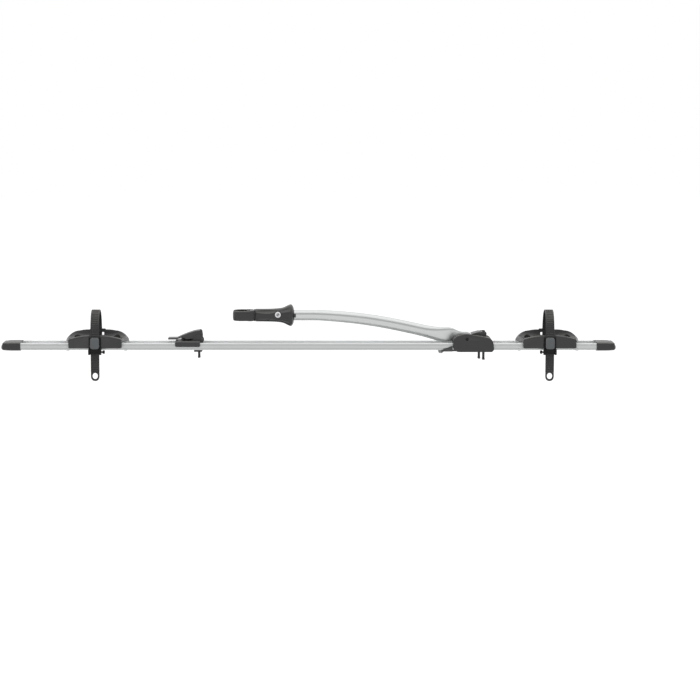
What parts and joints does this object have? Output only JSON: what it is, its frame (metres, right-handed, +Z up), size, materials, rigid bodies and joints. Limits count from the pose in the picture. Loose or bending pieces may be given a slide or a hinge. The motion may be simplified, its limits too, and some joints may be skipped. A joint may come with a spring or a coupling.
{
  "type": "roof mounted bike carrier",
  "caption": "Roof bar bike carrier: wheel tray with strapped cradles, bar clamps and a folding arm whose claws grip the frame.",
  "frame": {"origin": "middle of the front seat's underside, where the arm base stands on the front roof bar", "axes": "+X along the tray towards the front wheel, +Z up from the roof bar, -Y the side with the lock and buckles"},
  "size_m": [1.49, 0.0885, 0.1826],
  "materials": {
    "anodised_aluminium": "satin clear anodised",
    "black_nylon": "fine moulded grain",
    "grey_lever_plastic": "smooth grey blue",
    "ladder_strap": "moulded ladder steps",
    "black_rubber": "matt",
    "grey_rubber": "matt grey",
    "white_acetal": "smooth natural",
    "brass": "turned",
    "lock_chrome": "bright plated",
    "black_steel": "black coated",
    "zinc_steel": "zinc plated"
  },
  "bodies": {
    "tray": {"tray_channel": "anodised_aluminium", "end_cap_rear": "black_nylon", "end_cap_front": "black_nylon", "base_housing": "black_nylon", "base_foot": "black_steel", "base_pad": "black_rubber", "hook_pad": "grey_rubber", "base_screws": "zinc_steel", "pivot_pin": "black_steel", "base_wear_plate": "zinc_steel"},
    "base_bolts": {"base_t_bolts": "black_steel", "base_yoke": "black_steel"},
    "base_lever": {"base_cam_lever": "black_nylon"},
    "arm": {"arm_tube": "anodised_aluminium", "arm_bushes": "white_acetal", "tube_plug": "black_nylon", "core_tube": "zinc_steel", "claw_carrier": "black_nylon", "claw_pins": "zinc_steel"},
    "knob": {"knob": "black_nylon", "thread_insert": "brass", "lock_sleeve": "lock_chrome"},
    "lock_key": {"lock_cylinder": "lock_chrome"},
    "lock_catch": {"lock_bolt": "zinc_steel"},
    "draw": {"draw_rod": "zinc_steel", "draw_follower": "brass", "draw_cross_pin": "zinc_steel", "draw_pin": "zinc_steel"},
    "jaw_near": {"claw_near": "black_nylon", "claw_pad_near": "black_rubber"},
    "jaw_far": {"claw_far": "black_nylon", "claw_pad_far": "black_rubber"},
    "bracket": {"bracket_saddle": "black_nylon", "bracket_foot": "black_steel", "bracket_pad": "black_rubber", "bracket_wear_plate": "zinc_steel"},
    "bracket_bolt": {"bracket_t_bolt": "black_steel", "bracket_barrel_nut": "black_steel"},
    "bracket_lever": {"bracket_cam_lever": "black_nylon"},
    "holder_rear": {"cradle_rear": "black_nylon", "keepers_rear": "zinc_steel", "strap_rear": "ladder_strap", "strap_anchor_pin_rear": "zinc_steel", "buckle_frame_rear": "black_nylon", "pawl_pin_rear": "zinc_steel", "buckle_shaft_rear": "black_nylon"},
    "ratchet_rear": {"buckle_lever_rear": "grey_lever_plastic", "buckle_hub_rear": "black_nylon"},
    "pawl_rear": {"buckle_pawl_rear": "zinc_steel"},
    "holder_front": {"cradle_front": "black_nylon", "keepers_front": "zinc_steel", "strap_front": "ladder_strap", "strap_anchor_pin_front": "zinc_steel", "buckle_frame_front": "black_nylon", "pawl_pin_front": "zinc_steel", "buckle_shaft_front": "black_nylon"},
    "ratchet_front": {"buckle_lever_front": "grey_lever_plastic", "buckle_hub_front": "black_nylon"},
    "pawl_front": {"buckle_pawl_front": "zinc_steel"}
  },
  "joints": [
    {"name": "arm_fold", "type": "hinge", "parent": "tray", "child": "arm", "pos_m": [-0.038, 0, 0.033], "axis": [0, 1, 0], "range_deg": [0, 72]},
    {"name": "base_lever_swing", "type": "hinge", "parent": "base_bolts", "child": "base_lever", "pos_m": [-0.0005, 0, 0.0376], "axis": [0, 1, 0], "range_deg": [0, 100]},
    {"name": "base_bolt_drop", "type": "slide", "parent": "tray", "child": "base_bolts", "axis": [0, 0, 1], "range_m": [-0.00317, 0]},
    {"name": "knob_turn", "type": "hinge", "parent": "arm", "child": "knob", "pos_m": [-0.5, 0, 0.087], "axis": [-1, 0, 0], "range_deg": [0, 1260]},
    {"name": "draw_slide", "type": "slide", "parent": "arm", "child": "draw", "axis": [-1, 0, 0], "range_m": [0, 0.01092]},
    {"name": "jaw_near_swing", "type": "hinge", "parent": "arm", "child": "jaw_near", "pos_m": [-0.562, -0.015, 0.087], "axis": [0, 0, 1], "range_deg": [0, 40]},
    {"name": "jaw_far_swing", "type": "hinge", "parent": "arm", "child": "jaw_far", "pos_m": [-0.562, 0.015, 0.087], "axis": [0, 0, -1], "range_deg": [0, 40]},
    {"name": "lock_turn", "type": "hinge", "parent": "knob", "child": "lock_key", "pos_m": [-0.494, -0.018, 0.0896], "axis": [0, 1, 0], "range_deg": [0, 90.01]},
    {"name": "lock_bolt_slide", "type": "slide", "parent": "knob", "child": "lock_catch", "axis": [0, 1, 0], "range_m": [0, 0.0024]},
    {"name": "bracket_slide", "type": "slide", "parent": "tray", "child": "bracket", "axis": [1, 0, 0], "range_m": [-0.09, 0.11]},
    {"name": "bracket_bolt_drop", "type": "slide", "parent": "bracket", "child": "bracket_bolt", "axis": [0, 0, 1], "range_m": [-0.00317, 0]},
    {"name": "bracket_lever_swing", "type": "hinge", "parent": "bracket_bolt", "child": "bracket_lever", "pos_m": [-0.6856, 0, 0.0376], "axis": [0, 1, 0], "range_deg": [0, 100]},
    {"name": "holder_rear_slide", "type": "slide", "parent": "tray", "child": "holder_rear", "axis": [1, 0, 0], "range_m": [-0.1, 0.08]},
    {"name": "ratchet_rear_swing", "type": "hinge", "parent": "holder_rear", "child": "ratchet_rear", "pos_m": [-0.935, -0.0445, 0.0022], "axis": [1, 0, 0], "range_deg": [0, 60]},
    {"name": "pawl_rear_swing", "type": "hinge", "parent": "holder_rear", "child": "pawl_rear", "pos_m": [-0.935, -0.0434, 0.017], "axis": [-1, 0, 0], "range_deg": [0, 20], "stiffness_Nm_per_rad": 0.05, "springref_deg": -11.46},
    {"name": "holder_front_slide", "type": "slide", "parent": "tray", "child": "holder_front", "axis": [1, 0, 0], "range_m": [-0.045, 0.03]},
    {"name": "ratchet_front_swing", "type": "hinge", "parent": "holder_front", "child": "ratchet_front", "pos_m": [0.162, -0.0445, 0.0022], "axis": [1, 0, 0], "range_deg": [0, 60]},
    {"name": "pawl_front_swing", "type": "hinge", "parent": "holder_front", "child": "pawl_front", "pos_m": [0.162, -0.0434, 0.017], "axis": [-1, 0, 0], "range_deg": [0, 20], "stiffness_Nm_per_rad": 0.05, "springref_deg": -11.46}
  ],
  "couplings": [
    {"joint": "base_lever_swing", "follows": "base_bolt_drop", "rad_per_m": -551.04},
    {"joint": "bracket_lever_swing", "follows": "bracket_bolt_drop", "rad_per_m": -551.04},
    {"joint": "knob_turn", "follows": "draw_slide", "rad_per_m": 2014},
    {"joint": "jaw_near_swing", "follows": "draw_slide", "rad_per_m": 63.937},
    {"joint": "jaw_far_swing", "follows": "draw_slide", "rad_per_m": 63.937},
    {"joint": "lock_turn", "follows": "lock_bolt_slide", "rad_per_m": 654.5}
  ]
}
